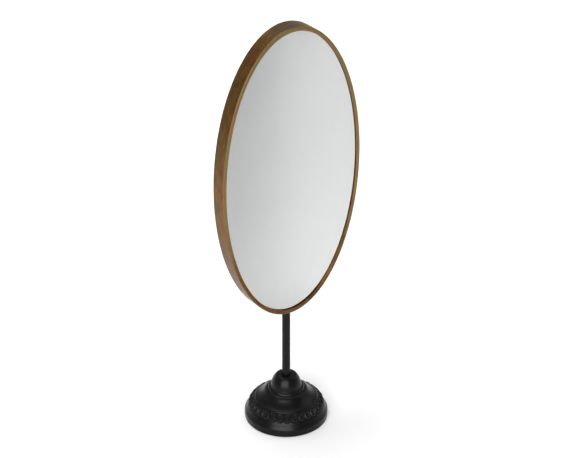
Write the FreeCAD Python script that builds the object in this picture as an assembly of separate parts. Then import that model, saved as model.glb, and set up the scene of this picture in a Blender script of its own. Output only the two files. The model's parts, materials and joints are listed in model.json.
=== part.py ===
import FreeCAD, Part
import math
import os

# Countertop mirror: an oval glass in a deep metal band, carried on a round
# stem that turns in a bell-shaped cast base.
#
# Millimetres.  +Z is up and the mirror looks along -Y.  The origin is the
# centre of the base's resting plane, and the stem's axis is the Z axis.

Vector = FreeCAD.Vector
UP = Vector(0, 0, 1)
BACKWARD = Vector(0, 1, 0)

# ---------------------------------------------------------------- dimensions

OVERALL_HEIGHT = 635.0

# Oval frame: an L-section strip rolled on edge and butt-welded
FRAME_HALF_WIDTH = 118.2
FRAME_HALF_HEIGHT = 224.15
FRAME_CENTRE_Z = OVERALL_HEIGHT - FRAME_HALF_HEIGHT
FRAME_FRONT_Y = -16.0
FRAME_DEPTH = 24.0
FRAME_BACK_Y = FRAME_FRONT_Y + FRAME_DEPTH
BAND_THICKNESS = 1.5
LIP_WIDTH = 5.5
LIP_THICKNESS = 1.5
LIP_EDGE_ROUND = 0.4

# Layers behind the lip, from the front: gasket, glass, foam, board
LAYER_INSET = 2.5            # from the band's outer face to the layers' edges
GASKET_THICKNESS = 0.7
GASKET_OUTER_INSET = 2.0
GASKET_INNER_INSET = 4.2
GLASS_THICKNESS = 3.0
GLASS_CHAMFER = 0.4
FOAM_THICKNESS = 0.8
FOAM_INSET = 6.0
BOARD_THICKNESS = 2.5
GASKET_FRONT_Y = FRAME_FRONT_Y + LIP_THICKNESS
GLASS_FRONT_Y = GASKET_FRONT_Y + GASKET_THICKNESS
FOAM_FRONT_Y = GLASS_FRONT_Y + GLASS_THICKNESS
BOARD_FRONT_Y = FOAM_FRONT_Y + FOAM_THICKNESS
BOARD_BACK_Y = BOARD_FRONT_Y + BOARD_THICKNESS

# Bent tabs that hold the board, and blocks that centre the glass
TAB_COUNT = 8
TAB_WIDTH = 10.0
TAB_THICKNESS = 0.8
TAB_LEG_LENGTH = 8.0
TAB_FOOT_LENGTH = 10.0
BLOCK_LENGTH = 15.0
BLOCK_ANGLES = (60.0, 120.0, 240.0, 300.0)

# Stem
STEM_RADIUS = 6.0
STEM_SHOULDER_Z = 37.5       # where the stem steps down to its lower stud
LOWER_STUD_RADIUS = 4.0
LOWER_STUD_END_Z = 11.0
UPPER_STUD_RADIUS = 3.0
UPPER_STUD_END_Z = 202.5
STUD_CHAMFER = 0.8

# Upper joint, inside the bottom of the band
SADDLE_HALF_WIDTH = 9.0
SADDLE_FRONT_Y = -6.2
SADDLE_BACK_Y = 7.0
SADDLE_TOP_Z = 191.2
UPPER_HOLE_RADIUS = 3.2
UPPER_WASHER_RADIUS = 6.0
UPPER_WASHER_THICKNESS = 1.6
UPPER_LOCK_WASHER_RADIUS = 5.7
UPPER_LOCK_WASHER_THICKNESS = 1.5
LOCK_WASHER_GAP = 1.0
UPPER_NUT_FLATS = 10.0
UPPER_NUT_HEIGHT = 5.0
THREAD_CLEARANCE = 0.05

# Base casting: rings of the turned outline, as radius and height, upwards
CASTING_BOTTOM_Z = 0.3
RIM_ROUND = 0.5
RIM_RADIUS = 61.5
RIM_TOP_Z = 10.7
RING_FOOT_RADIUS = 60.9
RING_FOOT_Z = 11.1
RING_CREASE_RADIUS = 58.7
RING_CREASE_Z = 15.4
RING_TOP_RADIUS = 56.4
RING_TOP_Z = 20.6
RING_BULGE = 0.1
BAND_FOOT_RADIUS = 56.0
BAND_FOOT_Z = 21.4
BAND_TOP_RADIUS = 46.4
BAND_TOP_Z = 32.1
BAND_BULGE = 1.0
BEAD_BULGE = 0.5
SKIRT_FOOT_RADIUS = 44.1
SKIRT_FOOT_Z = 33.7
SKIRT_HOLLOW = 0.5
SKIRT_STEEP_FOOT_RADIUS = 34.3
SKIRT_STEEP_FOOT_Z = 42.0
SKIRT_STEEP_TOP_RADIUS = 32.0
SKIRT_STEEP_TOP_Z = 44.9
SKIRT_SHOULDER_BULGE = 0.38
SKIRT_TOP_RADIUS = 28.0
SKIRT_TOP_Z = 47.8
COLLAR_RADIUS = 26.8
COLLAR_GROOVE_Z = 48.1
COLLAR_SIDE_Z = 48.9
COLLAR_SHOULDER_RADIUS = 25.6
COLLAR_SHOULDER_Z = 51.1
COLLAR_TOP_RADIUS = 23.6
COLLAR_TOP_Z = 51.7
DOME_FOOT_RADIUS = 23.2
DOME_FOOT_Z = 51.9
DOME_SIDE_RADIUS = 21.4
DOME_SIDE_Z = 59.6
DOME_SIDE_BULGE = 0.5
DOME_SHOULDER_RADIUS = 16.0
DOME_SHOULDER_Z = 69.6
DOME_SHOULDER_BULGE = 0.45
DOME_LAND_RADIUS = 12.5
DOME_LAND_Z = 71.4
DOME_MOUTH_Z = 71.85

# Base casting: bore, boss and hollow underside
BORE_RADIUS = 6.08           # running fit on the stem
BORE_LEAD_IN = 0.5
BORE_FLOOR_Z = 36.0
STUD_HOLE_RADIUS = 4.5
BOSS_RADIUS = 17.0
BOSS_BOTTOM_Z = 26.0
HOLLOW_RADIUS = 47.0
HOLLOW_WALL_TOP_Z = 18.0
HOLLOW_TOP_RADIUS = 31.5
HOLLOW_TOP_Z = 34.0
FELT_INNER_RADIUS = 49.0
FELT_OUTER_RADIUS = 58.5
FELT_THICKNESS = 2.0

# Swivel stack under the boss, listed downwards
THRUST_WASHER_RADIUS = 5.9
THRUST_WASHER_HOLE_RADIUS = 4.4
FRICTION_WASHER_RADIUS = 12.0
FRICTION_WASHER_THICKNESS = 1.5
FLAT_WASHER_RADIUS = 10.0
FLAT_WASHER_THICKNESS = 1.6
LOWER_WASHER_HOLE_RADIUS = 4.2
DISC_SPRING_RADIUS = 9.0
DISC_SPRING_HEIGHT = 1.6
DISC_SPRING_THICKNESS = 0.9
LOCK_NUT_FLATS = 13.0
LOCK_NUT_HEX_HEIGHT = 6.2
LOCK_NUT_COLLAR_RADIUS = 5.9
LOCK_NUT_COLLAR_HEIGHT = 1.8
INSERT_RADIUS = 5.1
INSERT_HEIGHT = 1.5
INSERT_END_WALL = 0.3

FRICTION_WASHER_BOTTOM_Z = BOSS_BOTTOM_Z - FRICTION_WASHER_THICKNESS
FLAT_WASHER_BOTTOM_Z = FRICTION_WASHER_BOTTOM_Z - FLAT_WASHER_THICKNESS
DISC_SPRING_BOTTOM_Z = FLAT_WASHER_BOTTOM_Z - DISC_SPRING_HEIGHT
LOCK_NUT_BOTTOM_Z = DISC_SPRING_BOTTOM_Z - LOCK_NUT_HEX_HEIGHT - LOCK_NUT_COLLAR_HEIGHT


# ------------------------------------------------------------------- helpers

def cylinder(radius, bottom_z, top_z):
    """An upright cylinder on the stem's axis."""
    return Part.makeCylinder(radius, top_z - bottom_z, Vector(0, 0, bottom_z), UP)


def ring(outer_radius, inner_radius, bottom_z, top_z):
    """An upright ring on the stem's axis."""
    bore = cylinder(inner_radius, bottom_z - 1.0, top_z + 1.0)
    return cylinder(outer_radius, bottom_z, top_z).cut(bore)


def profile_point(radius, height):
    """A point of a turned profile, in the XZ plane."""
    return Vector(radius, 0, height)


def line(start, end):
    """A straight edge between two profile points."""
    return Part.LineSegment(start, end).toShape()


def bulged(start, end, bulge):
    """An arc from start to end whose middle stands off the chord by bulge.

    A positive bulge stands to the right of the way from start to end, which
    is outward on a profile that runs down its outside.
    """
    chord = end - start
    side = Vector(-chord.z, 0, chord.x).normalize()
    middle = (start + end) * 0.5 + side * bulge
    return Part.Arc(start, middle, end).toShape()


def turned(edges):
    """The solid made by turning a closed profile about the stem's axis."""
    face = Part.Face(Part.Wire(edges))
    return face.revolve(Vector(0, 0, 0), UP, 360)


def hex_prism(across_flats, bottom_z, height):
    """A hexagonal prism on the stem's axis, with its corners turned down."""
    corner_radius = across_flats / math.sqrt(3)
    corners = []
    for index in range(7):
        angle = math.radians(60 * index)
        x = corner_radius * math.cos(angle)
        y = corner_radius * math.sin(angle)
        corners.append(Vector(x, y, bottom_z))
    prism = Part.Face(Part.makePolygon(corners)).extrude(UP * height)
    # The turned corners are a cone at each end, 30 degrees to the end face
    drop = 0.58 * (corner_radius - 0.475 * across_flats)
    inner = 0.475 * across_flats
    outer = corner_radius + 0.01
    blank = turned([
        line(profile_point(0, bottom_z), profile_point(inner, bottom_z)),
        line(profile_point(inner, bottom_z), profile_point(outer, bottom_z + drop)),
        line(profile_point(outer, bottom_z + drop), profile_point(outer, bottom_z + height - drop)),
        line(profile_point(outer, bottom_z + height - drop), profile_point(inner, bottom_z + height)),
        line(profile_point(inner, bottom_z + height), profile_point(0, bottom_z + height)),
        line(profile_point(0, bottom_z + height), profile_point(0, bottom_z)),
    ])
    return prism.common(blank)


def oval_prism(inset, front_y, back_y):
    """A filled oval, inset from the band's outer face, between two depths."""
    half_width = FRAME_HALF_WIDTH - inset
    half_height = FRAME_HALF_HEIGHT - inset
    centre = Vector(0, front_y, FRAME_CENTRE_Z)
    top = centre + UP * half_height
    side = centre + Vector(half_width, 0, 0)
    outline = Part.Ellipse(top, side, centre).toShape()
    return Part.Face(Part.Wire([outline])).extrude(BACKWARD * (back_y - front_y))


def oval_ring(outer_inset, inner_inset, front_y, back_y):
    """An oval ring between two insets and two depths."""
    outer = oval_prism(outer_inset, front_y, back_y)
    return outer.cut(oval_prism(inner_inset, front_y - 1.0, back_y + 1.0))


def wall_block(angle_degrees, width, reach, front_y, back_y):
    """A block across the band at one angle of the oval, reaching inward.

    It starts outside the band and ends at the given reach from the band's
    outer face.  Its width runs along the band.
    """
    angle = math.radians(angle_degrees)
    x = FRAME_HALF_WIDTH * math.cos(angle)
    z = FRAME_HALF_HEIGHT * math.sin(angle)
    outward_x = math.cos(angle) / FRAME_HALF_WIDTH
    outward_z = math.sin(angle) / FRAME_HALF_HEIGHT
    turn = math.degrees(math.atan2(outward_z, outward_x))
    overshoot = 5.0
    corner = Vector(-reach, front_y, -width / 2)
    block = Part.makeBox(reach + overshoot, back_y - front_y, width, corner)
    block.rotate(Vector(0, 0, 0), BACKWARD, -turn)
    block.translate(Vector(x, 0, FRAME_CENTRE_Z + z))
    return block


# ---------------------------------------------------------------------- base

def casting_outline():
    """The base's outside, from the bore's mouth down to its lower rim."""
    mouth = profile_point(BORE_RADIUS + BORE_LEAD_IN, DOME_MOUTH_Z)
    dome_land = profile_point(DOME_LAND_RADIUS, DOME_LAND_Z)
    dome_shoulder = profile_point(DOME_SHOULDER_RADIUS, DOME_SHOULDER_Z)
    dome_side = profile_point(DOME_SIDE_RADIUS, DOME_SIDE_Z)
    dome_foot = profile_point(DOME_FOOT_RADIUS, DOME_FOOT_Z)
    collar_top = profile_point(COLLAR_TOP_RADIUS, COLLAR_TOP_Z)
    collar_shoulder = profile_point(COLLAR_SHOULDER_RADIUS, COLLAR_SHOULDER_Z)
    collar_side = profile_point(COLLAR_RADIUS, COLLAR_SIDE_Z)
    collar_groove = profile_point(COLLAR_RADIUS, COLLAR_GROOVE_Z)
    skirt_top = profile_point(SKIRT_TOP_RADIUS, SKIRT_TOP_Z)
    steep_top = profile_point(SKIRT_STEEP_TOP_RADIUS, SKIRT_STEEP_TOP_Z)
    steep_foot = profile_point(SKIRT_STEEP_FOOT_RADIUS, SKIRT_STEEP_FOOT_Z)
    skirt_foot = profile_point(SKIRT_FOOT_RADIUS, SKIRT_FOOT_Z)
    band_top = profile_point(BAND_TOP_RADIUS, BAND_TOP_Z)
    band_foot = profile_point(BAND_FOOT_RADIUS, BAND_FOOT_Z)
    ring_top = profile_point(RING_TOP_RADIUS, RING_TOP_Z)
    ring_crease = profile_point(RING_CREASE_RADIUS, RING_CREASE_Z)
    ring_foot = profile_point(RING_FOOT_RADIUS, RING_FOOT_Z)
    rim_top = profile_point(RIM_RADIUS, RIM_TOP_Z)
    rim_foot = profile_point(RIM_RADIUS, CASTING_BOTTOM_Z + RIM_ROUND)
    rim_under = profile_point(RIM_RADIUS - RIM_ROUND, CASTING_BOTTOM_Z)
    edges = [
        line(mouth, dome_land),
        bulged(dome_land, dome_shoulder, DOME_SHOULDER_BULGE),
        bulged(dome_shoulder, dome_side, DOME_SIDE_BULGE),
        line(dome_side, dome_foot),
        line(dome_foot, collar_top),
        bulged(collar_top, collar_shoulder, 0.15),
        bulged(collar_shoulder, collar_side, 0.1),
        line(collar_side, collar_groove),
        line(collar_groove, skirt_top),
        bulged(skirt_top, steep_top, SKIRT_SHOULDER_BULGE),
        line(steep_top, steep_foot),
        bulged(steep_foot, skirt_foot, -SKIRT_HOLLOW),
        bulged(skirt_foot, band_top, BEAD_BULGE),
        bulged(band_top, band_foot, BAND_BULGE),
        line(band_foot, ring_top),
        bulged(ring_top, ring_crease, RING_BULGE),
        bulged(ring_crease, ring_foot, RING_BULGE),
        line(ring_foot, rim_top),
        line(rim_top, rim_foot),
        bulged(rim_foot, rim_under, 0.3 * RIM_ROUND),
    ]
    return edges, mouth, rim_under


def make_base_casting():
    """The bell base: a dome over a moulded skirt, hollow below, with a boss."""
    edges, mouth, rim_under = casting_outline()
    bore_mouth_z = mouth.z - BORE_LEAD_IN
    corners = [
        rim_under,
        profile_point(FELT_OUTER_RADIUS, CASTING_BOTTOM_Z),
        profile_point(FELT_OUTER_RADIUS, FELT_THICKNESS),
        profile_point(FELT_INNER_RADIUS, FELT_THICKNESS),
        profile_point(FELT_INNER_RADIUS, CASTING_BOTTOM_Z),
        profile_point(HOLLOW_RADIUS, CASTING_BOTTOM_Z),
        profile_point(HOLLOW_RADIUS, HOLLOW_WALL_TOP_Z),
        profile_point(HOLLOW_TOP_RADIUS, HOLLOW_TOP_Z),
        profile_point(BOSS_RADIUS, HOLLOW_TOP_Z),
        profile_point(BOSS_RADIUS, BOSS_BOTTOM_Z),
        profile_point(STUD_HOLE_RADIUS, BOSS_BOTTOM_Z),
        profile_point(STUD_HOLE_RADIUS, BORE_FLOOR_Z),
        profile_point(BORE_RADIUS, BORE_FLOOR_Z),
        profile_point(BORE_RADIUS, bore_mouth_z),
        mouth,
    ]
    for start, end in zip(corners, corners[1:]):
        edges.append(line(start, end))
    return turned(edges)


def make_felt_foot_ring():
    """The felt ring set into the rim, which the mirror stands on."""
    return ring(FELT_OUTER_RADIUS, FELT_INNER_RADIUS, 0.0, FELT_THICKNESS)


def make_thrust_washer():
    """The nylon washer at the bottom of the bore, under the stem's shoulder."""
    return ring(THRUST_WASHER_RADIUS, THRUST_WASHER_HOLE_RADIUS, BORE_FLOOR_Z, STEM_SHOULDER_Z)


def make_friction_washer():
    """The nylon washer under the boss that gives the swivel its drag."""
    return ring(
        FRICTION_WASHER_RADIUS,
        STUD_HOLE_RADIUS,
        FRICTION_WASHER_BOTTOM_Z,
        BOSS_BOTTOM_Z,
    )


# ---------------------------------------------------------------- stem stack

def make_stem_rod():
    """The stem, with a stud turned on each end and its top coped to the band."""
    frame_bottom_z = FRAME_CENTRE_Z - FRAME_HALF_HEIGHT
    rod = cylinder(STEM_RADIUS, STEM_SHOULDER_Z, frame_bottom_z + 2.0)
    rod = rod.cut(oval_prism(0.0, -2 * STEM_RADIUS, 2 * STEM_RADIUS))
    lower_stud = cylinder(LOWER_STUD_RADIUS, LOWER_STUD_END_Z, STEM_SHOULDER_Z)
    lower_tip = lower_stud.Edges
    lower_tip = [edge for edge in lower_tip if abs(edge.BoundBox.ZMax - LOWER_STUD_END_Z) < 0.01]
    lower_stud = lower_stud.makeChamfer(STUD_CHAMFER, lower_tip)
    upper_stud = cylinder(UPPER_STUD_RADIUS, frame_bottom_z - 5.0, UPPER_STUD_END_Z)
    upper_tip = upper_stud.Edges
    upper_tip = [edge for edge in upper_tip if abs(edge.BoundBox.ZMin - UPPER_STUD_END_Z) < 0.01]
    upper_stud = upper_stud.makeChamfer(STUD_CHAMFER, upper_tip)
    return rod.fuse([lower_stud, upper_stud]).removeSplitter()


def make_swivel_flat_washer():
    """The steel washer that turns on the friction washer."""
    return ring(
        FLAT_WASHER_RADIUS,
        LOWER_WASHER_HOLE_RADIUS,
        FLAT_WASHER_BOTTOM_Z,
        FRICTION_WASHER_BOTTOM_Z,
    )


def make_swivel_disc_spring():
    """The coned disc spring that keeps the swivel's drag even."""
    rise = DISC_SPRING_HEIGHT - DISC_SPRING_THICKNESS
    inner_low = profile_point(LOWER_WASHER_HOLE_RADIUS, DISC_SPRING_BOTTOM_Z)
    outer_low = profile_point(DISC_SPRING_RADIUS, DISC_SPRING_BOTTOM_Z + rise)
    outer_high = profile_point(DISC_SPRING_RADIUS, FLAT_WASHER_BOTTOM_Z)
    inner_high = profile_point(
        LOWER_WASHER_HOLE_RADIUS,
        DISC_SPRING_BOTTOM_Z + DISC_SPRING_THICKNESS,
    )
    return turned([
        line(inner_low, outer_low),
        line(outer_low, outer_high),
        line(outer_high, inner_high),
        line(inner_high, inner_low),
    ])


def make_swivel_lock_nut():
    """The hexagonal lock nut, with the pocket for its nylon ring."""
    collar_top_z = LOCK_NUT_BOTTOM_Z + LOCK_NUT_COLLAR_HEIGHT
    nut = hex_prism(LOCK_NUT_FLATS, collar_top_z, LOCK_NUT_HEX_HEIGHT)
    nut = nut.fuse(cylinder(LOCK_NUT_COLLAR_RADIUS, LOCK_NUT_BOTTOM_Z, collar_top_z + 0.5))
    insert_bottom_z = LOCK_NUT_BOTTOM_Z + INSERT_END_WALL
    nut = nut.cut(cylinder(INSERT_RADIUS, insert_bottom_z, insert_bottom_z + INSERT_HEIGHT))
    thread_radius = LOWER_STUD_RADIUS + THREAD_CLEARANCE
    return nut.cut(cylinder(thread_radius, LOCK_NUT_BOTTOM_Z - 1.0, FLAT_WASHER_BOTTOM_Z))


def make_lock_nut_insert():
    """The nylon ring inside the lock nut."""
    insert_bottom_z = LOCK_NUT_BOTTOM_Z + INSERT_END_WALL
    return ring(
        INSERT_RADIUS,
        LOWER_STUD_RADIUS + THREAD_CLEARANCE,
        insert_bottom_z,
        insert_bottom_z + INSERT_HEIGHT,
    )


# ---------------------------------------------------------------------- head

def make_oval_frame():
    """The rolled strip: a deep band with a narrow lip turned in at the front."""
    frame = oval_prism(0.0, FRAME_FRONT_Y, FRAME_BACK_Y)
    frame = frame.cut(oval_prism(BAND_THICKNESS, GASKET_FRONT_Y, FRAME_BACK_Y + 1.0))
    frame = frame.cut(oval_prism(LIP_WIDTH, FRAME_FRONT_Y - 1.0, GASKET_FRONT_Y + 1.0))
    front_edges = [edge for edge in frame.Edges if edge.BoundBox.YMax < FRAME_FRONT_Y + 0.01]
    frame = frame.makeFillet(LIP_EDGE_ROUND, front_edges)
    return frame.cut(cylinder(UPPER_HOLE_RADIUS, SADDLE_TOP_Z - 20.0, SADDLE_TOP_Z))


def make_glazing_gasket():
    """The foam ring that the glass is pressed against, behind the lip."""
    return oval_ring(GASKET_OUTER_INSET, GASKET_INNER_INSET, GASKET_FRONT_Y, GLASS_FRONT_Y)


def make_mirror_glass():
    """The silvered oval glass, with its front edge lightly ground."""
    glass = oval_prism(LAYER_INSET, GLASS_FRONT_Y, FOAM_FRONT_Y)
    front_edges = [edge for edge in glass.Edges if edge.BoundBox.YMax < GLASS_FRONT_Y + 0.01]
    return glass.makeChamfer(GLASS_CHAMFER, front_edges)


def make_bedding_foam():
    """The thin foam sheet between the glass and its board."""
    return oval_prism(FOAM_INSET, FOAM_FRONT_Y, BOARD_FRONT_Y)


def make_backing_board():
    """The hardboard oval behind the glass."""
    return oval_prism(LAYER_INSET, BOARD_FRONT_Y, BOARD_BACK_Y)


def make_setting_blocks():
    """Four small blocks that centre the glass and board in the band."""
    gap = oval_ring(BAND_THICKNESS, LAYER_INSET, GLASS_FRONT_Y, BOARD_BACK_Y)
    blocks = []
    for angle in BLOCK_ANGLES:
        cutter = wall_block(angle, BLOCK_LENGTH, 10.0, GLASS_FRONT_Y, BOARD_BACK_Y)
        blocks.append(gap.common(cutter))
    return Part.makeCompound(blocks)


def make_retaining_tabs():
    """Bent tabs, welded inside the band, whose feet press on the board."""
    leg_ring = oval_ring(
        BAND_THICKNESS,
        BAND_THICKNESS + TAB_THICKNESS,
        BOARD_BACK_Y,
        BOARD_BACK_Y + TAB_LEG_LENGTH,
    )
    foot_sheet = oval_prism(BAND_THICKNESS, BOARD_BACK_Y, BOARD_BACK_Y + TAB_THICKNESS)
    reach = BAND_THICKNESS + TAB_FOOT_LENGTH
    tabs = []
    for index in range(TAB_COUNT):
        angle = 360.0 / TAB_COUNT * (index + 0.5)
        cutter = wall_block(angle, TAB_WIDTH, reach, BOARD_BACK_Y, FRAME_BACK_Y)
        leg = leg_ring.common(cutter)
        foot = foot_sheet.common(cutter)
        tabs.append(leg.fuse(foot).removeSplitter())
    return Part.makeCompound(tabs)


def make_saddle_plate():
    """The plate that gives the upper nut a flat seat on the curved band."""
    band_inside_z = FRAME_CENTRE_Z - FRAME_HALF_HEIGHT + BAND_THICKNESS
    corner = Vector(-SADDLE_HALF_WIDTH, SADDLE_FRONT_Y, band_inside_z - 2.0)
    plate = Part.makeBox(
        2 * SADDLE_HALF_WIDTH,
        SADDLE_BACK_Y - SADDLE_FRONT_Y,
        SADDLE_TOP_Z - corner.z,
        corner,
    )
    plate = plate.common(oval_prism(BAND_THICKNESS, SADDLE_FRONT_Y, SADDLE_BACK_Y))
    return plate.cut(cylinder(UPPER_HOLE_RADIUS, corner.z, SADDLE_TOP_Z + 1.0))


def make_head_washer():
    """The flat washer on the saddle plate."""
    top_z = SADDLE_TOP_Z + UPPER_WASHER_THICKNESS
    return ring(UPPER_WASHER_RADIUS, UPPER_HOLE_RADIUS, SADDLE_TOP_Z, top_z)


def make_head_lock_washer():
    """The split spring washer under the upper nut."""
    bottom_z = SADDLE_TOP_Z + UPPER_WASHER_THICKNESS
    top_z = bottom_z + UPPER_LOCK_WASHER_THICKNESS
    washer = ring(
        UPPER_LOCK_WASHER_RADIUS,
        UPPER_STUD_RADIUS + THREAD_CLEARANCE,
        bottom_z,
        top_z,
    )
    corner = Vector(-LOCK_WASHER_GAP / 2, 0, bottom_z - 1.0)
    gap = Part.makeBox(LOCK_WASHER_GAP, 2 * UPPER_LOCK_WASHER_RADIUS, top_z - bottom_z + 2.0, corner)
    return washer.cut(gap)


def make_head_nut():
    """The nut that clamps the band to the stem."""
    bottom_z = SADDLE_TOP_Z + UPPER_WASHER_THICKNESS + UPPER_LOCK_WASHER_THICKNESS
    nut = hex_prism(UPPER_NUT_FLATS, bottom_z, UPPER_NUT_HEIGHT)
    thread_radius = UPPER_STUD_RADIUS + THREAD_CLEARANCE
    return nut.cut(cylinder(thread_radius, bottom_z - 1.0, bottom_z + UPPER_NUT_HEIGHT + 1.0))


# --------------------------------------------------------------------- parts

PARTS = {
    "base_casting": make_base_casting,
    "felt_foot_ring": make_felt_foot_ring,
    "thrust_washer": make_thrust_washer,
    "friction_washer": make_friction_washer,
    "stem_rod": make_stem_rod,
    "swivel_flat_washer": make_swivel_flat_washer,
    "swivel_disc_spring": make_swivel_disc_spring,
    "swivel_lock_nut": make_swivel_lock_nut,
    "lock_nut_insert": make_lock_nut_insert,
    "oval_frame": make_oval_frame,
    "glazing_gasket": make_glazing_gasket,
    "mirror_glass": make_mirror_glass,
    "bedding_foam": make_bedding_foam,
    "backing_board": make_backing_board,
    "setting_blocks": make_setting_blocks,
    "retaining_tabs": make_retaining_tabs,
    "saddle_plate": make_saddle_plate,
    "head_washer": make_head_washer,
    "head_lock_washer": make_head_lock_washer,
    "head_nut": make_head_nut,
}

os.makedirs("parts", exist_ok=True)
for node, make in PARTS.items():
    shape = make()
    if not shape.isValid():
        raise RuntimeError(node + " is not a valid shape")
    shape.exportStep(os.path.join("parts", node + ".step"))
    print(f"{node:20s} {len(shape.Solids)} solids  {shape.Volume / 1000:9.2f} cm3")
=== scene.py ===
import json
import math

import bmesh
import bpy
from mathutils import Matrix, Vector

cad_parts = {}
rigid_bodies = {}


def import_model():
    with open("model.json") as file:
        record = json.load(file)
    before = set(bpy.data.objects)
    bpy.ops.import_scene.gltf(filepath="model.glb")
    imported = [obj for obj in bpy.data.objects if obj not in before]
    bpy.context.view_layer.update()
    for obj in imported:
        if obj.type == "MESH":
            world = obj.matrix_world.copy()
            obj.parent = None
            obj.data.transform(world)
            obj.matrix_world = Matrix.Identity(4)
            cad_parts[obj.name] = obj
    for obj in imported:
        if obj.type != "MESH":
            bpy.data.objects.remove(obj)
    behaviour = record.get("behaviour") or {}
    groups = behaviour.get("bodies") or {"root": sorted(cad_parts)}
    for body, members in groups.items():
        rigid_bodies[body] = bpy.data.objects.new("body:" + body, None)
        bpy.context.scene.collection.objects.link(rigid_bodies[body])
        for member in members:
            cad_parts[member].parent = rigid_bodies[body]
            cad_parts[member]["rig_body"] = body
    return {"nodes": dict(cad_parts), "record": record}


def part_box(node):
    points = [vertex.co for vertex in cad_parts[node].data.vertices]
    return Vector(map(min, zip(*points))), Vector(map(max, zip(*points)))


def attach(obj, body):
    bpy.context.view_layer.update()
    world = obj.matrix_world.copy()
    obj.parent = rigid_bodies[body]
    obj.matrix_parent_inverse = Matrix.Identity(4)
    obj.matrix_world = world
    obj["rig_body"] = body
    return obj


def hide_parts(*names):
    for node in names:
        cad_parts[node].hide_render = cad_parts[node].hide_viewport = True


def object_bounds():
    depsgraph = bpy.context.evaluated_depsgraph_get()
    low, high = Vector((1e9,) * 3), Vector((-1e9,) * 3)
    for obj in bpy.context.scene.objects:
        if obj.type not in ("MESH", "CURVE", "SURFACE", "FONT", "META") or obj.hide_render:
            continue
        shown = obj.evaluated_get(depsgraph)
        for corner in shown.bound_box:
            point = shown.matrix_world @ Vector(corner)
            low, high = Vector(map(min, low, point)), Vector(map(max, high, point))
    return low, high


# Countertop mirror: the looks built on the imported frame.
#
# Metres, in the frame's own axes: +Z up, the glass facing -Y, the stem on the
# Z axis and the origin at the centre of the base's resting plane.

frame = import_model()
CAD_LOW, CAD_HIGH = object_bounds()
MM = 0.001

# ---------------------------------------------------------------- dimensions

# Oval frame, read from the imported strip
STRIP_LOW, STRIP_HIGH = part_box("oval_frame")
OVAL_HALF_WIDTH = (STRIP_HIGH.x - STRIP_LOW.x) / 2
OVAL_HALF_HEIGHT = (STRIP_HIGH.z - STRIP_LOW.z) / 2
OVAL_CENTRE_Z = (STRIP_HIGH.z + STRIP_LOW.z) / 2
STRIP_FRONT_Y = STRIP_LOW.y
STRIP_BACK_Y = STRIP_HIGH.y
STRIP_THICKNESS = 1.5 * MM
LIP_WIDTH = 5.5 * MM
LIP_EXTRA_HEIGHT = 1.2 * MM
LIP_EDGE_ROUND = 0.45 * MM
BACK_EDGE_ROUND = 0.3 * MM
UNDER_LIP_ROUND = 0.2 * MM
INNER_CORNER_ROUND = 0.1 * MM
ROUND_PIECES = 4
FLAT_PIECE = 2.0 * MM
OVAL_SEGMENTS = 720

# Wear on the strip: the lip is rubbed most, and less towards the oval's foot
LIP_WEAR = 0.70
LIP_WEAR_LOST_LOW = 0.55
INNER_EDGE_WEAR = 0.6
CORNER_WEAR = 0.35
CORNER_WEAR_REACH = 2.0 * MM

# The base's outline, from the dome's mouth down its outside, round underneath
# and up the bore. Each step is (radius, height, bulge, pieces), in millimetres.
DOME_MOUTH = (6.6, 71.85)
DOME = [(12.5, 71.4, 0.0, 3), (16.0, 69.6, 0.45, 8), (21.4, 59.6, 0.5, 16), (23.2, 51.9, 0.05, 6)]
COLLAR = [
    (23.6, 51.65, -0.08, 3), (25.6, 51.1, 0.15, 4), (26.8, 48.9, 0.1, 6), (26.7, 48.1, 0.0, 2),
]
SKIRT = [
    (28.0, 47.8, -0.15, 4), (32.0, 44.9, 0.38, 8), (34.3, 42.0, 0.0, 4), (44.1, 33.7, -0.5, 16),
]
BEAD = [(46.4, 32.1, 0.5, 8)]
LOBED_BAND = [(56.0, 21.4, 1.0, 44), (56.4, 20.6, 0.0, 4)]
RING = [(58.7, 15.4, 0.1, 6), (60.9, 11.1, 0.1, 6)]
RIM = [(61.5, 10.7, 0.1, 4), (61.5, 0.8, 0.0, 8), (61.0, 0.3, 0.15, 3)]
FELT_RECESS = [(58.5, 0.3, 0.0, 2), (58.5, 2.0, 0.0, 1), (49.0, 2.0, 0.0, 1), (49.0, 0.3, 0.0, 1)]
HOLLOW = [(47.0, 0.3, 0.0, 1), (47.0, 18.0, 0.0, 2), (31.5, 34.0, 0.0, 2), (17.0, 34.0, 0.0, 2)]
BOSS = [(17.0, 26.0, 0.0, 1), (4.5, 26.0, 0.0, 1)]
BORE = [(4.5, 36.0, 0.0, 1), (6.08, 36.0, 0.0, 1), (6.08, 71.35, 0.0, 2)]
BASE_SHARP_ANGLE = math.radians(50)

# The groove under the collar, where the paint is duller
COLLAR_GROOVE = Vector((26.9, 48.0)) * MM
COLLAR_GROOVE_REACH = 1.2 * MM
COLLAR_GROOVE_DULLNESS = 0.3

# The lobes round the band, one of them LOBE_PHASE to the right of the camera
LOBE_COUNT = 31
LOBE_PHASE = math.radians(1.4)
LOBE_HALF_WIDTH_SHARE = 0.485
LOBE_TOP_GAP = 1.8 * MM
LOBE_FOOT_GAP = 0.5 * MM
LOBE_TOP_FADE = 0.8 * MM
LOBE_FOOT_FADE = 0.4 * MM
LOBE_GROOVE_DEPTH = 0.8 * MM
LOBE_GROOVE_HALF_WIDTH = 0.9 * MM
LOBE_RIDGE_HEIGHT = 1.0 * MM
LOBE_RIDGE_AT = 2.1 * MM
LOBE_RIDGE_HALF_WIDTH = 1.35 * MM
LOBE_HOLLOW_DEPTH = 1.3 * MM
LOBE_HOLLOW_AT = 3.8 * MM
SEGMENTS_PER_LOBE = 32
SEGMENTS_PER_LOBE_ELSEWHERE = 8

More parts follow.
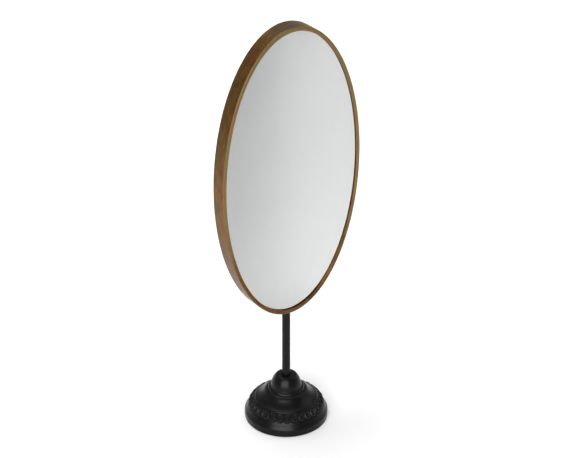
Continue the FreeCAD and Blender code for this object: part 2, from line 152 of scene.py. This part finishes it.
# Camera: its angles, and its distance from a point beside the object's middle
CAMERA_AZIMUTH = math.radians(-36.58)
CAMERA_ELEVATION = math.radians(29.83)
CAMERA_DISTANCE = 2.943
CAMERA_SIDE_AIM = 0.5 * MM
CAMERA_LENS = 130.35
CAMERA_SENSOR = 36.0

# Floor, just clear of the felt
FLOOR_RADIUS = 8.0
FLOOR_DROP = 0.2 * MM

# Surround: grey by the sine of the elevation, and dimmer on the camera's side
SKY = [(0.0, 0.56), (0.10, 0.56), (0.38, 0.40), (0.62, 0.40), (0.82, 0.74), (1.0, 0.74)]
CAMERA_SIDE = [(0.0, 1.0), (0.16, 0.36), (1.0, 0.30)]


# ----------------------------------------------------------- material helpers

def set_stops(ramp, stops):
    """Sets a colour ramp's stops, each a position and a colour or grey."""
    elements = ramp.color_ramp.elements
    while len(elements) < len(stops):
        elements.new(0.5)
    for element, (position, value) in zip(elements, stops):
        grey = isinstance(value, (int, float))
        element.position = position
        element.color = (value, value, value, 1) if grey else (*value, 1)


class Graph:
    """A material's node tree, with short calls for the nodes used here."""

    def __init__(self, name, **shader_values):
        self.material = bpy.data.materials.new(name)
        self.material.use_nodes = True
        self.nodes = self.material.node_tree.nodes
        self.links = self.material.node_tree.links
        self.shader = self.nodes["Principled BSDF"]
        for socket, value in shader_values.items():
            self.shader.inputs[socket.replace("_", " ")].default_value = value

    def set(self, node, socket, value):
        """Sets a socket to a number or colour, or links it to another node's output."""
        if isinstance(value, bpy.types.NodeSocket):
            self.links.new(value, node.inputs[socket])
        else:
            node.inputs[socket].default_value = value

    def object_coordinates(self):
        return self.nodes.new("ShaderNodeTexCoord").outputs["Object"]

    def attribute(self, name):
        node = self.nodes.new("ShaderNodeAttribute")
        node.attribute_name = name
        return node

    def stretched(self, vector, scale):
        node = self.nodes.new("ShaderNodeMapping")
        self.set(node, "Vector", vector)
        self.set(node, "Scale", scale)
        return node.outputs["Vector"]

    def noise(self, vector, scale, detail, roughness, distortion=0.0):
        node = self.nodes.new("ShaderNodeTexNoise")
        self.set(node, "Vector", vector)
        self.set(node, "Scale", scale)
        self.set(node, "Detail", detail)
        self.set(node, "Roughness", roughness)
        self.set(node, "Distortion", distortion)
        return node.outputs["Fac"]

    def ramp(self, factor, *stops):
        node = self.nodes.new("ShaderNodeValToRGB")
        set_stops(node, stops)
        self.set(node, "Fac", factor)
        return node.outputs["Color"]

    def mix(self, factor, a, b, blend="MIX"):
        node = self.nodes.new("ShaderNodeMix")
        node.data_type = "RGBA"
        node.blend_type = blend
        self.set(node, 0, factor)
        for socket, value in ((6, a), (7, b)):
            if isinstance(value, tuple):
                value = (*value, 1)
            self.set(node, socket, value)
        return node.outputs[2]

    def math(self, operation, a, b=0.0, c=0.0):
        node = self.nodes.new("ShaderNodeMath")
        node.operation = operation
        self.set(node, 0, a)
        self.set(node, 1, b)
        self.set(node, 2, c)
        return node.outputs[0]

    def bump(self, height, strength, distance, normal=None):
        node = self.nodes.new("ShaderNodeBump")
        self.set(node, "Height", height)
        self.set(node, "Strength", strength)
        self.set(node, "Distance", distance)
        if normal is not None:
            self.set(node, "Normal", normal)
        return node.outputs["Normal"]

    def finish(self, **shader_inputs):
        for socket, value in shader_inputs.items():
            self.set(self.shader, socket.replace("_", " "), value)
        return self.material


# ------------------------------------------------------------------ materials

def antique_brass():
    """Dark patinated brass, streaked along the strip and rubbed bright at the lip, with painted
    shade towards the oval's foot.
    """
    graph = Graph("antique_brass", Metallic=1.0)
    place = graph.attribute("strip_place").outputs["Vector"]
    rubbed = graph.attribute("strip_rubbed").outputs["Fac"]
    tint = graph.noise(graph.stretched(place, (1.0, 3.0, 1.0)), 22.0, 4.0, 0.6, 0.8)
    patches = graph.noise(graph.stretched(place, (1.0, 2.5, 1.0)), 55.0, 5.0, 0.65, 0.6)
    streaks = graph.noise(graph.stretched(place, (0.14, 1.0, 1.0)), 230.0, 4.0, 0.6)
    specks = graph.noise(place, 700.0, 3.0, 0.7)
    dark = graph.ramp(tint, (0.38, (0.125, 0.044, 0.014)), (0.62, (0.085, 0.052, 0.014)))
    brown = graph.ramp(tint, (0.38, (0.250, 0.104, 0.034)), (0.62, (0.205, 0.128, 0.040)))
    gold = graph.ramp(tint, (0.35, (0.285, 0.150, 0.060)), (0.65, (0.235, 0.168, 0.066)))
    patina = graph.mix(graph.ramp(patches, (0.34, 0.0), (0.66, 1.0)), dark, brown)
    patina = graph.mix(graph.ramp(streaks, (0.40, 0.0), (0.68, 0.6)), patina, brown)
    worn = graph.math("MULTIPLY_ADD", streaks, 0.7, rubbed)
    worn = graph.math("MULTIPLY_ADD", specks, 0.4, worn)
    colour = graph.mix(graph.ramp(worn, (0.70, 0.0), (1.35, 1.0)), patina, gold)
    split = graph.nodes.new("ShaderNodeSeparateXYZ")
    graph.set(split, 0, graph.nodes.new("ShaderNodeNewGeometry").outputs["Normal"])
    dust = graph.ramp(split.outputs["Z"], (0.80, 0.0), (1.0, 0.45))
    colour = graph.mix(dust, colour, (0.105, 0.092, 0.078))
    # Painted shade: the strip's colour is darkened towards the oval's foot, in place of less
    # reflected light there.
    painted_low_shade = graph.ramp(graph.attribute("strip_low").outputs["Fac"], (0.0, 1.0), (1.0, 0.72))
    colour = graph.mix(1.0, colour, painted_low_shade, "MULTIPLY")
    roughness = graph.math("MULTIPLY_ADD", patches, 0.16, 0.32)
    height = graph.math("MULTIPLY_ADD", streaks, 0.5, specks)
    normal = graph.bump(height, 0.22, 0.00012)
    return graph.finish(Base_Color=colour, Roughness=roughness, Normal=normal)


def black_casting():
    """Satin black paint over a sand-cast surface, thinner on the raised edges."""
    graph = Graph("black_casting", Specular_IOR_Level=0.14)
    place = graph.object_coordinates()
    edge = graph.attribute("cast_edge").outputs["Fac"]
    pit = graph.attribute("cast_pit").outputs["Fac"]
    broad = graph.noise(place, 60.0, 4.0, 0.55)
    grain = graph.noise(place, 900.0, 3.0, 0.6)
    paint = graph.ramp(broad, (0.3, (0.0028, 0.0028, 0.0030)), (0.7, (0.0052, 0.0050, 0.0048)))
    colour = graph.mix(graph.math("MULTIPLY", edge, 0.5), paint, (0.020, 0.020, 0.020))
    roughness = graph.math("MULTIPLY_ADD", grain, 0.10, 0.25)
    roughness = graph.math("MULTIPLY_ADD", pit, 0.35, roughness)
    normal = graph.bump(grain, 0.08, 0.0004)
    normal = graph.bump(broad, 0.10, 0.0012, normal)
    return graph.finish(Base_Color=colour, Roughness=roughness, Normal=normal)


def black_paint():
    """The stem's satin black paint, with the faint pull of the brushed bar below."""
    graph = Graph("black_paint", Specular_IOR_Level=0.12)
    place = graph.object_coordinates()
    drawn = graph.noise(graph.stretched(place, (1.0, 1.0, 0.04)), 900.0, 2.0, 0.5)
    peel = graph.noise(place, 500.0, 2.0, 0.5)
    colour = graph.ramp(peel, (0.3, (0.0045, 0.0045, 0.0047)), (0.7, (0.008, 0.0077, 0.0074)))
    roughness = graph.math("MULTIPLY_ADD", drawn, 0.15, 0.33)
    normal = graph.bump(graph.math("ADD", drawn, peel), 0.08, 0.0003)
    return graph.finish(Base_Color=colour, Roughness=roughness, Normal=normal)


def silvered_glass():
    """The mirror: a clean silver face with the faintest film of wiping marks."""
    graph = Graph("silvered_glass", Metallic=1.0)
    place = graph.object_coordinates()
    film = graph.noise(graph.stretched(place, (1.0, 1.0, 0.45)), 14.0, 5.0, 0.6, 1.2)
    colour = graph.ramp(film, (0.3, (0.505, 0.510, 0.510)), (0.7, (0.525, 0.530, 0.528)))
    roughness = graph.ramp(film, (0.35, 0.012), (0.75, 0.035))
    return graph.finish(Base_Color=colour, Roughness=roughness)


def zinc_plate():
    """Bright zinc on the fasteners and tabs."""
    graph = Graph("zinc_plate", Metallic=1.0)
    place = graph.object_coordinates()
    cloud = graph.noise(place, 350.0, 4.0, 0.6)
    colour = graph.ramp(cloud, (0.3, (0.42, 0.42, 0.40)), (0.7, (0.60, 0.60, 0.58)))
    roughness = graph.math("MULTIPLY_ADD", cloud, 0.25, 0.22)
    normal = graph.bump(cloud, 0.1, 0.0002)
    return graph.finish(Base_Color=colour, Roughness=roughness, Normal=normal)


def stained_hardboard():
    """Black-stained hardboard, with its pressed fibres just showing."""
    graph = Graph("stained_hardboard", Specular_IOR_Level=0.3)
    place = graph.object_coordinates()
    fibres = graph.noise(graph.stretched(place, (1.0, 1.0, 0.35)), 700.0, 5.0, 0.7, 0.8)
    blotches = graph.noise(place, 22.0, 4.0, 0.5)
    colour = graph.ramp(fibres, (0.35, (0.012, 0.010, 0.009)), (0.75, (0.050, 0.039, 0.030)))
    colour = graph.mix(graph.ramp(blotches, (0.4, 0.0), (0.7, 0.5)), colour, (0.020, 0.018, 0.017))
    roughness = graph.math("MULTIPLY_ADD", blotches, 0.2, 0.55)
    normal = graph.bump(fibres, 0.3, 0.0003)
    return graph.finish(Base_Color=colour, Roughness=roughness, Normal=normal)


def fine_grain(name, low, high, scale, roughness, bump_strength):
    """A matt material whose fine grain varies its colour and surface."""
    graph = Graph(name, Specular_IOR_Level=0.35)
    place = graph.object_coordinates()
    grain = graph.noise(place, scale, 4.0, 0.65)
    colour = graph.ramp(grain, (0.3, low), (0.7, high))
    rough = graph.math("MULTIPLY_ADD", grain, 0.15, roughness)
    normal = graph.bump(grain, bump_strength, 0.0004)
    return graph.finish(Base_Color=colour, Roughness=rough, Normal=normal)


MATERIALS = {
    "frame": antique_brass(),
    "cast_base": black_casting(),
    "stem": black_paint(),
    "mirror": silvered_glass(),
    "fastener": zinc_plate(),
    "tabs": zinc_plate(),
    "board": stained_hardboard(),
    "gasket": fine_grain(
        "black_foam", (0.008, 0.008, 0.008), (0.020, 0.020, 0.019),
        scale=900.0, roughness=0.7, bump_strength=0.4,
    ),
    "foam": fine_grain(
        "white_foam", (0.62, 0.61, 0.57), (0.74, 0.73, 0.69),
        scale=900.0, roughness=0.7, bump_strength=0.4,
    ),
    "nylon": fine_grain(
        "nylon", (0.68, 0.66, 0.60), (0.80, 0.78, 0.72),
        scale=400.0, roughness=0.4, bump_strength=0.1,
    ),
    "felt": fine_grain(
        "black_felt", (0.008, 0.008, 0.009), (0.030, 0.030, 0.032),
        scale=1600.0, roughness=0.85, bump_strength=0.9,
    ),
}

SLOTS = {entry["node"]: entry["material_slot"] for entry in frame["record"]["subparts"]}
for node, cad_object in frame["nodes"].items():
    cad_object.data.materials.clear()
    cad_object.data.materials.append(MATERIALS[SLOTS[node]])


# --------------------------------------------------------------- mesh helpers

def add_object(name, mesh):
    """A new object for a mesh, linked into the scene."""
    made = bpy.data.objects.new(name, mesh)
    bpy.context.scene.collection.objects.link(made)
    return made


def to_piece(name, form, node, sharp_angle=None):
    """Makes a form into a piece that replaces a CAD node.

    The piece rides on the node's body and takes its material. It is shaded
    smooth, but for edges that turn by more than sharp_angle.
    """
    bmesh.ops.recalc_face_normals(form, faces=form.faces)
    for face in form.faces:
        face.smooth = True
    mesh = bpy.data.meshes.new(name)
    form.to_mesh(mesh)
    form.free()
    if sharp_angle is not None:
        mesh.set_sharp_from_angle(angle=sharp_angle)
    piece = add_object(name, mesh)
    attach(piece, frame["nodes"][node]["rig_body"])
    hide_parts(node)
    mesh.materials.append(MATERIALS[SLOTS[node]])


def smooth_step(low, high, value):
    """0 below low, 1 above high, and a smooth rise between."""
    t = min(max((value - low) / (high - low), 0.0), 1.0)
    return t * t * (3 - 2 * t)


def bell_curve(offset, half_width):
    """1 at no offset, falling smoothly to 0 at half_width."""
    return smooth_step(half_width, 0.0, abs(offset))


def corner_round(corner, start, end, radius, steps):
    """Points round a corner, from the side of start to the side of end."""
    to_start = (Vector(start) - Vector(corner)).normalized() * radius
    to_end = (Vector(end) - Vector(corner)).normalized() * radius
    centre = Vector(corner) + to_start + to_end
    points = []
    for step in range(steps + 1):
        angle = step / steps * math.pi / 2
        points.append(centre - to_end * math.cos(angle) - to_start * math.sin(angle))
    return points


# ----------------------------------------------------------------- oval frame

def strip_section():
    """The strip's section as (inset, depth) points, in order round it."""
    front, back = STRIP_FRONT_Y, STRIP_BACK_Y
    under_lip = front + STRIP_THICKNESS
    corners = [
        (0.0, back),
        (0.0, front),
        (LIP_WIDTH, front),
        (LIP_WIDTH, under_lip),
        (STRIP_THICKNESS, under_lip),
        (STRIP_THICKNESS, back),
    ]
    rounds = [
        BACK_EDGE_ROUND,
        LIP_EDGE_ROUND,
        LIP_EDGE_ROUND,
        UNDER_LIP_ROUND,
        INNER_CORNER_ROUND,
        BACK_EDGE_ROUND,
    ]
    points = []
    for index, corner in enumerate(corners):
        before = corners[index - 1]
        after = corners[(index + 1) % len(corners)]
        points += corner_round(corner, before, after, rounds[index], ROUND_PIECES)
        # The flats are cut up so that their colour can vary along the depth
        span = (Vector(after) - Vector(corner)).length
        pieces = max(1, round(span / FLAT_PIECE))
        for cut in range(1, pieces):
            points.append(Vector(corner).lerp(Vector(after), cut / pieces))
    return points


def make_oval_frame():
    """The rolled strip, with place and wear stored on its vertices.

    Its lip is a little wider at the top and bottom than at the sides.
    """
    section = strip_section()
    run = [0.0]
    for a, b in zip(section, section[1:]):
        run.append(run[-1] + (b - a).length)
    form = bmesh.new()
    place_layer = form.verts.layers.float_vector.new("strip_place")
    rubbed_layer = form.verts.layers.float.new("strip_rubbed")
    low_layer = form.verts.layers.float.new("strip_low")
    rings = []
    along = 0.0
    last = None
    for segment in range(OVAL_SEGMENTS):
        angle = 2 * math.pi * segment / OVAL_SEGMENTS - math.pi / 2
        here = Vector((OVAL_HALF_WIDTH * math.cos(angle), OVAL_HALF_HEIGHT * math.sin(angle)))
        if last is not None:
            along += (here - last).length
        last = here
        low = smooth_step(0.1, -0.8, math.sin(angle))
        ring = []
        for (inset, depth), across in zip(section, run):
            x = (OVAL_HALF_WIDTH - inset) * math.cos(angle)
            taller = LIP_EXTRA_HEIGHT * smooth_step(STRIP_THICKNESS, LIP_WIDTH, inset)
            z = OVAL_CENTRE_Z + (OVAL_HALF_HEIGHT - inset - taller) * math.sin(angle)
            vertex = form.verts.new((x, depth, z))
            behind = depth - STRIP_FRONT_Y
            on_front = smooth_step(1.2 * MM, 0.2 * MM, behind)
            on_inner_edge = smooth_step(1.0 * MM, 0.4 * MM, LIP_WIDTH - inset)
            on_lip = max(on_front, INNER_EDGE_WEAR * on_inner_edge)
            near_front = bell_curve(behind, CORNER_WEAR_REACH)
            on_corner = near_front * bell_curve(inset, CORNER_WEAR_REACH)
            lip_wear = (LIP_WEAR - LIP_WEAR_LOST_LOW * low) * on_lip
            vertex[place_layer] = Vector((along, across, 0.0))
            vertex[low_layer] = low
            vertex[rubbed_layer] = min(1.0, lip_wear + CORNER_WEAR * on_corner)
            ring.append(vertex)
        rings.append(ring)
    count = len(section)
    for index, ring in enumerate(rings):
        following = rings[(index + 1) % len(rings)]
        for k in range(count):
            n = (k + 1) % count
            form.faces.new((ring[k], ring[n], following[n], following[k]))
    to_piece("oval_frame_strip", form, "oval_frame")


# ----------------------------------------------------------------------- base

def arc_points(start, end, bulge, steps):
    """Points from start to end along an arc, without the start itself.

    A positive bulge stands outward on an outline that runs down its outside.
    """
    start, end = Vector(start), Vector(end)
    chord = end - start
    outward = Vector((-chord.y, chord.x)).normalized()
    points = []
    for step in range(1, steps + 1):
        t = step / steps
        points.append(start + chord * t + outward * (4 * bulge * t * (1 - t)))
    return points


def base_outline():
    """The base's outline as (radius, height), and where its lobes begin and end."""
    points = [Vector(DOME_MOUTH)]

    def follow(*features):
        for feature in features:
            for radius, height, bulge, pieces in feature:
                points.extend(arc_points(points[-1], (radius, height), bulge, pieces))
        return len(points) - 1

    lobe_start = follow(DOME, COLLAR, SKIRT, BEAD)
    lobe_end = follow(LOBED_BAND)
    follow(RING, RIM, FELT_RECESS, HOLLOW, BOSS, BORE)
    return [point * MM for point in points], lobe_start, lobe_end


def lobe_height(sideways, down, length, pitch):
    """How far the surface stands out at a place in one lobe's cell.

    sideways is from the lobe's middle, down from the top of the band.
    """
    half_width = LOBE_HALF_WIDTH_SHARE * pitch
    foot_centre = length - LOBE_FOOT_GAP - half_width
    head_centre = LOBE_TOP_GAP + half_width
    past_straight = down - min(max(down, head_centre), foot_centre)
    inside = half_width - math.hypot(sideways, past_straight)
    groove = bell_curve(inside, LOBE_GROOVE_HALF_WIDTH)
    ridge = bell_curve(inside - LOBE_RIDGE_AT, LOBE_RIDGE_HALF_WIDTH)
    hollow = smooth_step(LOBE_RIDGE_AT, LOBE_HOLLOW_AT, inside)
    height = LOBE_RIDGE_HEIGHT * ridge - LOBE_GROOVE_DEPTH * groove - LOBE_HOLLOW_DEPTH * hollow
    fade_at_top = smooth_step(0.0, LOBE_TOP_FADE, down)
    fade_at_foot = smooth_step(0.0, LOBE_FOOT_FADE, length - down)
    return height * (fade_at_top * fade_at_foot)


def make_base():
    """The bell casting, with a row of lobes cut round its shoulder."""
    outline, lobe_start, lobe_end = base_outline()
    coarse = LOBE_COUNT * SEGMENTS_PER_LOBE_ELSEWHERE
    fine = LOBE_COUNT * SEGMENTS_PER_LOBE
    ratio = fine // coarse
    band_length = 0.0
    downs = {lobe_start: 0.0}
    for index in range(lobe_start + 1, lobe_end + 1):
        band_length += (outline[index] - outline[index - 1]).length
        downs[index] = band_length
    form = bmesh.new()
    edge_layer = form.verts.layers.float.new("cast_edge")
    pit_layer = form.verts.layers.float.new("cast_pit")
    rings = []
    for index, (radius, height) in enumerate(outline):
        in_band = lobe_start <= index <= lobe_end
        segments = fine if in_band else coarse
        ring = []
        if in_band:
            before = outline[max(index - 1, lobe_start)]
            after = outline[min(index + 1, lobe_end)]
            slope = (after - before).normalized()
            outward = Vector((-slope.y, slope.x))
            pitch = 2 * math.pi * radius / LOBE_COUNT
        from_groove = (outline[index] - COLLAR_GROOVE).length
        pit = COLLAR_GROOVE_DULLNESS * bell_curve(from_groove, COLLAR_GROOVE_REACH)
        for segment in range(segments):
            angle = 2 * math.pi * segment / segments
            lift = 0.0
            r, z = radius, height
            if in_band:
                cell = (angle - LOBE_PHASE - CAMERA_AZIMUTH) * LOBE_COUNT / (2 * math.pi)
                offset = (cell + 0.5) % 1.0 - 0.5
                lift = lobe_height(offset * pitch, downs[index], band_length, pitch)
                r += outward.x * lift
                z += outward.y * lift
                pit = smooth_step(-0.1 * MM, -0.6 * MM, lift)
            vertex = form.verts.new((r * math.sin(angle), -r * math.cos(angle), z))
            vertex[edge_layer] = smooth_step(0.1 * MM, 0.5 * MM, lift)
            vertex[pit_layer] = pit
            ring.append(vertex)
        rings.append(ring)
    for index, ring in enumerate(rings):
        following = rings[(index + 1) % len(rings)]
        if len(ring) == len(following):
            for k in range(len(ring)):
                n = (k + 1) % len(ring)
                form.faces.new((ring[k], ring[n], following[n], following[k]))
        else:
            wide, narrow = (ring, following) if len(ring) > len(following) else (following, ring)
            for k in range(coarse):
                n = (k + 1) % coarse
                fan = [wide[(k * ratio + step) % fine] for step in range(ratio + 1)]
                form.faces.new([narrow[n], narrow[k], *fan])
    to_piece("base_bell", form, "base_casting", BASE_SHARP_ANGLE)


make_oval_frame()
make_base()


# ---------------------------------------------------------------------- stage

def make_floor():
    """A pale floor that fades into the surround, so that low views show no edge."""
    graph = Graph("pale_floor", Roughness=0.9, Specular_IOR_Level=0.1)
    place = graph.object_coordinates()
    cloud = graph.noise(place, 1.5, 3.0, 0.5)
    colour = graph.ramp(cloud, (0.3, (0.86, 0.86, 0.86)), (0.7, (0.90, 0.90, 0.90)))
    # Whole near the object, then fading with the distance from it
    distance = graph.nodes.new("ShaderNodeVectorMath")
    distance.operation = "LENGTH"
    graph.set(distance, 0, place)
    outward = graph.math("DIVIDE", distance.outputs["Value"], FLOOR_RADIUS)
    solid = graph.ramp(outward, (0.20, 1.0), (0.36, 0.45), (0.75, 0.0))
    material = graph.finish(Base_Color=colour, Alpha=solid)
    form = bmesh.new()
    bmesh.ops.create_circle(form, cap_ends=True, segments=96, radius=FLOOR_RADIUS)
    mesh = bpy.data.meshes.new("floor")
    form.to_mesh(mesh)
    form.free()
    floor = add_object("floor", mesh)
    floor.location.z = -FLOOR_DROP
    mesh.materials.append(material)


def around(azimuth_degrees, elevation_degrees, distance, centre):
    """A point seen from centre at an azimuth (as the camera's) and elevation."""
    azimuth = math.radians(azimuth_degrees)
    elevation = math.radians(elevation_degrees)
    back = Vector((
        math.sin(azimuth) * math.cos(elevation),
        -math.cos(azimuth) * math.cos(elevation),
        math.sin(elevation),
    ))
    return centre + back * distance


def soft_light(name, place, target, size, power, spread=180.0, turn=0.0):
    """A soft box at place, aimed at target and hidden from the camera.

    Its beam is narrowed to spread degrees, and the box is turned about its own
    beam by turn degrees.
    """
    data = bpy.data.lights.new(name, "AREA")
    data.shape = "RECTANGLE"
    data.size, data.size_y = size
    data.energy = power
    data.spread = math.radians(spread)
    light = bpy.data.objects.new(name, data)
    light.location = place
    light.rotation_euler = (target - place).to_track_quat("-Z", "Y").to_euler()
    light.rotation_euler.rotate_axis("Z", math.radians(turn))
    light.visible_camera = False
    bpy.context.scene.collection.objects.link(light)


def make_world():
    """A soft surround, brighter overhead and dimmer on the camera's side."""
    world = bpy.data.worlds.new("surround")
    world.use_nodes = True
    nodes, links = world.node_tree.nodes, world.node_tree.links
    direction = nodes.new("ShaderNodeTexCoord").outputs["Generated"]
    split = nodes.new("ShaderNodeSeparateXYZ")
    links.new(direction, split.inputs[0])
    toward = nodes.new("ShaderNodeVectorMath")
    toward.operation = "DOT_PRODUCT"
    links.new(direction, toward.inputs[0])
    toward.inputs[1].default_value = (math.sin(CAMERA_AZIMUTH), -math.cos(CAMERA_AZIMUTH), 0.0)
    for factor, stops, socket in (
        (split.outputs["Z"], SKY, "Color"),
        (toward.outputs["Value"], CAMERA_SIDE, "Strength"),
    ):
        ramp = nodes.new("ShaderNodeValToRGB")
        set_stops(ramp, stops)
        links.new(factor, ramp.inputs["Fac"])
        links.new(ramp.outputs["Color"], nodes["Background"].inputs[socket])
    bpy.context.scene.world = world


def make_camera(centre):
    """The camera at the photograph's angle, distance and length."""
    data = bpy.data.cameras.new("camera")
    data.lens = CAMERA_LENS
    data.sensor_width = CAMERA_SENSOR
    camera = bpy.data.objects.new("camera", data)
    azimuth, elevation = math.degrees(CAMERA_AZIMUTH), math.degrees(CAMERA_ELEVATION)
    right = Vector((math.cos(CAMERA_AZIMUTH), math.sin(CAMERA_AZIMUTH), 0.0))
    aim = centre + right * CAMERA_SIDE_AIM
    camera.location = around(azimuth, elevation, CAMERA_DISTANCE, aim)
    camera.rotation_euler = (aim - camera.location).to_track_quat("-Z", "Y").to_euler()
    bpy.context.scene.collection.objects.link(camera)
    bpy.context.scene.camera = camera


MIDDLE = Vector((0.0, 0.0, (CAD_LOW.z + CAD_HIGH.z) / 2))
make_floor()
make_world()
make_camera(MIDDLE)
# Lights the floor behind the object
soft_light(
    "overhead", Vector((0.05, 0.5, 2.45)), Vector((0.70, 1.30, 0.0)),
    size=(1.4, 1.4), power=20.0, spread=96.0,
)
# The main light, seen as the base's bright lines
soft_light(
    "front", around(-47.0, 18.0, 3.25, MIDDLE), Vector((0.0, 0.0, 0.1)),
    size=(3.3, 2.25), power=82.0, spread=130.0,
)
# A weak light on the camera's right
soft_light(
    "side", around(67.0, 30.0, 2.6, MIDDLE), MIDDLE,
    size=(1.8, 1.2), power=7.0,
)
# Brightens the strip of floor that the mirror shows the camera
soft_light(
    "bar", Vector((0.60, -0.65, 0.52)), Vector((0.60, -0.65, 0.0)),
    size=(1.1, 0.26), power=0.48, spread=26.0, turn=-53.4,
)
bpy.context.scene.view_settings.view_transform = "Standard"
